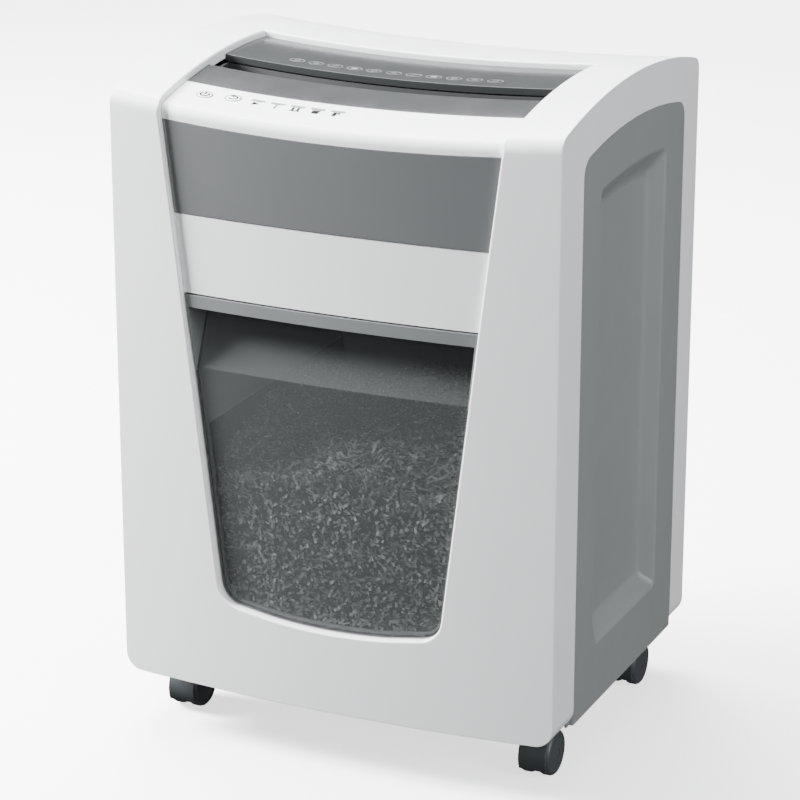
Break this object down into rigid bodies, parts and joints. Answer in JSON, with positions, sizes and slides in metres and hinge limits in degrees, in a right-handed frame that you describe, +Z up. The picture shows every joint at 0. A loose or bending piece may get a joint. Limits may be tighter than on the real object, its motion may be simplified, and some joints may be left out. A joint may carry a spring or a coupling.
{
  "type": "paper shredder",
  "caption": "Upright office paper shredder with a top feed slot, a pull-out bin with a smoked window, a hidden cutting head and swivel casters.",
  "frame": {"origin": "on the floor under the middle of the object", "axes": "+Z up, -Y towards the front with the window, +X to the right seen from the front"},
  "size_m": [0.39, 0.3192, 0.5731],
  "materials": {
    "white_plastic": "satin white moulded shell",
    "inner_white": "plain light grey moulding",
    "dark_grey_plastic": "fine matt grey moulding",
    "gloss_grey": "polished grey trim",
    "grip_grey": "satin mid grey",
    "smoked_window": "smoked see-through plastic",
    "black_plastic": "dark moulded plastic",
    "steel": "machined steel",
    "zinc_steel": "zinc plated",
    "nylon": "natural nylon",
    "circuit_board": "green lacquered board",
    "cut_paper": "loose cut white paper"
  },
  "bodies": {
    "cabinet": {"outer_shell": "white_plastic", "side_panel_left": "dark_grey_plastic", "side_panel_right": "dark_grey_plastic", "rear_cover": "dark_grey_plastic", "rear_cover_screw_1": "zinc_steel", "rear_cover_screw_2": "zinc_steel", "rear_cover_screw_3": "zinc_steel", "rear_cover_screw_4": "zinc_steel", "mains_inlet": "black_plastic", "base_chassis": "black_plastic", "bin_runner_left": "nylon", "bin_runner_right": "nylon", "head_front_cover": "white_plastic", "front_trim_band": "gloss_grey", "top_trim_front": "gloss_grey", "top_trim_rear": "gloss_grey", "feed_guide": "dark_grey_plastic", "indicator_lens": "grip_grey", "control_board": "circuit_board", "head_tray": "steel", "side_plate_left": "steel", "side_plate_right": "steel", "tie_rod_front": "zinc_steel", "tie_rod_rear": "zinc_steel", "comb_front": "steel", "comb_rear": "steel", "bearing_front_left": "nylon", "bearing_front_right": "nylon", "bearing_rear_left": "nylon", "bearing_rear_right": "nylon", "idler_axle": "zinc_steel", "motor": "zinc_steel", "bin_switch": "black_plastic", "paper_sensor": "black_plastic"},
    "bin": {"bin_tub": "inner_white", "bin_window": "smoked_window", "bin_grip": "grip_grey", "paper_shreds": "cut_paper"},
    "power_key": {"power_button": "inner_white"},
    "reverse_key": {"reverse_button": "inner_white"},
    "rear_cutter": {"cutter_rear": "steel", "sync_gear_rear": "steel", "drive_gear": "nylon"},
    "front_cutter": {"cutter_front": "steel", "sync_gear_front": "steel"},
    "idler": {"idler_gear": "nylon"},
    "rotor": {"motor_pinion": "steel"},
    "caster_fl_fork": {"caster_fl_stem": "zinc_steel", "caster_fl_hood": "black_plastic"},
    "caster_fl_pair": {"caster_fl_wheels": "black_plastic"},
    "caster_fr_fork": {"caster_fr_stem": "zinc_steel", "caster_fr_hood": "black_plastic"},
    "caster_fr_pair": {"caster_fr_wheels": "black_plastic"},
    "caster_bl_fork": {"caster_bl_stem": "zinc_steel", "caster_bl_hood": "black_plastic"},
    "caster_bl_pair": {"caster_bl_wheels": "black_plastic"},
    "caster_br_fork": {"caster_br_stem": "zinc_steel", "caster_br_hood": "black_plastic"},
    "caster_br_pair": {"caster_br_wheels": "black_plastic"}
  },
  "joints": [
    {"name": "bin_slide", "type": "slide", "parent": "cabinet", "child": "bin", "axis": [0, -1, 0], "range_m": [0, 0.24]},
    {"name": "power_press", "type": "slide", "parent": "cabinet", "child": "power_key", "axis": [0, 0, -1], "range_m": [0, 0.0015], "stiffness_N_per_m": 500},
    {"name": "reverse_press", "type": "slide", "parent": "cabinet", "child": "reverse_key", "axis": [0, 0, -1], "range_m": [0, 0.0015], "stiffness_N_per_m": 500},
    {"name": "rear_cutter_spin", "type": "hinge", "parent": "cabinet", "child": "rear_cutter", "pos_m": [0, -0.02735, 0.4534], "axis": [1, 0, 0], "continuous": true},
    {"name": "front_cutter_spin", "type": "hinge", "parent": "cabinet", "child": "front_cutter", "pos_m": [0, -0.06235, 0.4534], "axis": [1, 0, 0], "continuous": true},
    {"name": "idler_spin", "type": "hinge", "parent": "cabinet", "child": "idler", "pos_m": [0, 0.02055, 0.4374], "axis": [1, 0, 0], "continuous": true},
    {"name": "rotor_spin", "type": "hinge", "parent": "cabinet", "child": "rotor", "pos_m": [0, 0.05923, 0.4494], "axis": [1, 0, 0], "continuous": true},
    {"name": "caster_fl_swivel", "type": "hinge", "parent": "cabinet", "child": "caster_fl_fork", "pos_m": [-0.163, -0.10635, 0.0514], "axis": [0, 0, 1], "continuous": true},
    {"name": "caster_fl_roll", "type": "hinge", "parent": "caster_fl_fork", "child": "caster_fl_pair", "pos_m": [-0.163, -0.08935, 0.0195], "axis": [1, 0, 0], "continuous": true},
    {"name": "caster_fr_swivel", "type": "hinge", "parent": "cabinet", "child": "caster_fr_fork", "pos_m": [0.163, -0.10635, 0.0514], "axis": [0, 0, 1], "continuous": true},
    {"name": "caster_fr_roll", "type": "hinge", "parent": "caster_fr_fork", "child": "caster_fr_pair", "pos_m": [0.163, -0.08935, 0.0195], "axis": [1, 0, 0], "continuous": true},
    {"name": "caster_bl_swivel", "type": "hinge", "parent": "cabinet", "child": "caster_bl_fork", "pos_m": [-0.163, 0.09265, 0.0514], "axis": [0, 0, 1], "continuous": true},
    {"name": "caster_bl_roll", "type": "hinge", "parent": "caster_bl_fork", "child": "caster_bl_pair", "pos_m": [-0.163, 0.10965, 0.0195], "axis": [1, 0, 0], "continuous": true},
    {"name": "caster_br_swivel", "type": "hinge", "parent": "cabinet", "child": "caster_br_fork", "pos_m": [0.163, 0.09265, 0.0514], "axis": [0, 0, 1], "continuous": true},
    {"name": "caster_br_roll", "type": "hinge", "parent": "caster_br_fork", "child": "caster_br_pair", "pos_m": [0.163, 0.10965, 0.0195], "axis": [1, 0, 0], "continuous": true}
  ],
  "couplings": [
    {"joint": "front_cutter_spin", "follows": "rear_cutter_spin", "ratio": -1},
    {"joint": "idler_spin", "follows": "rear_cutter_spin", "ratio": -0.66667},
    {"joint": "rotor_spin", "follows": "rear_cutter_spin", "ratio": 2}
  ]
}
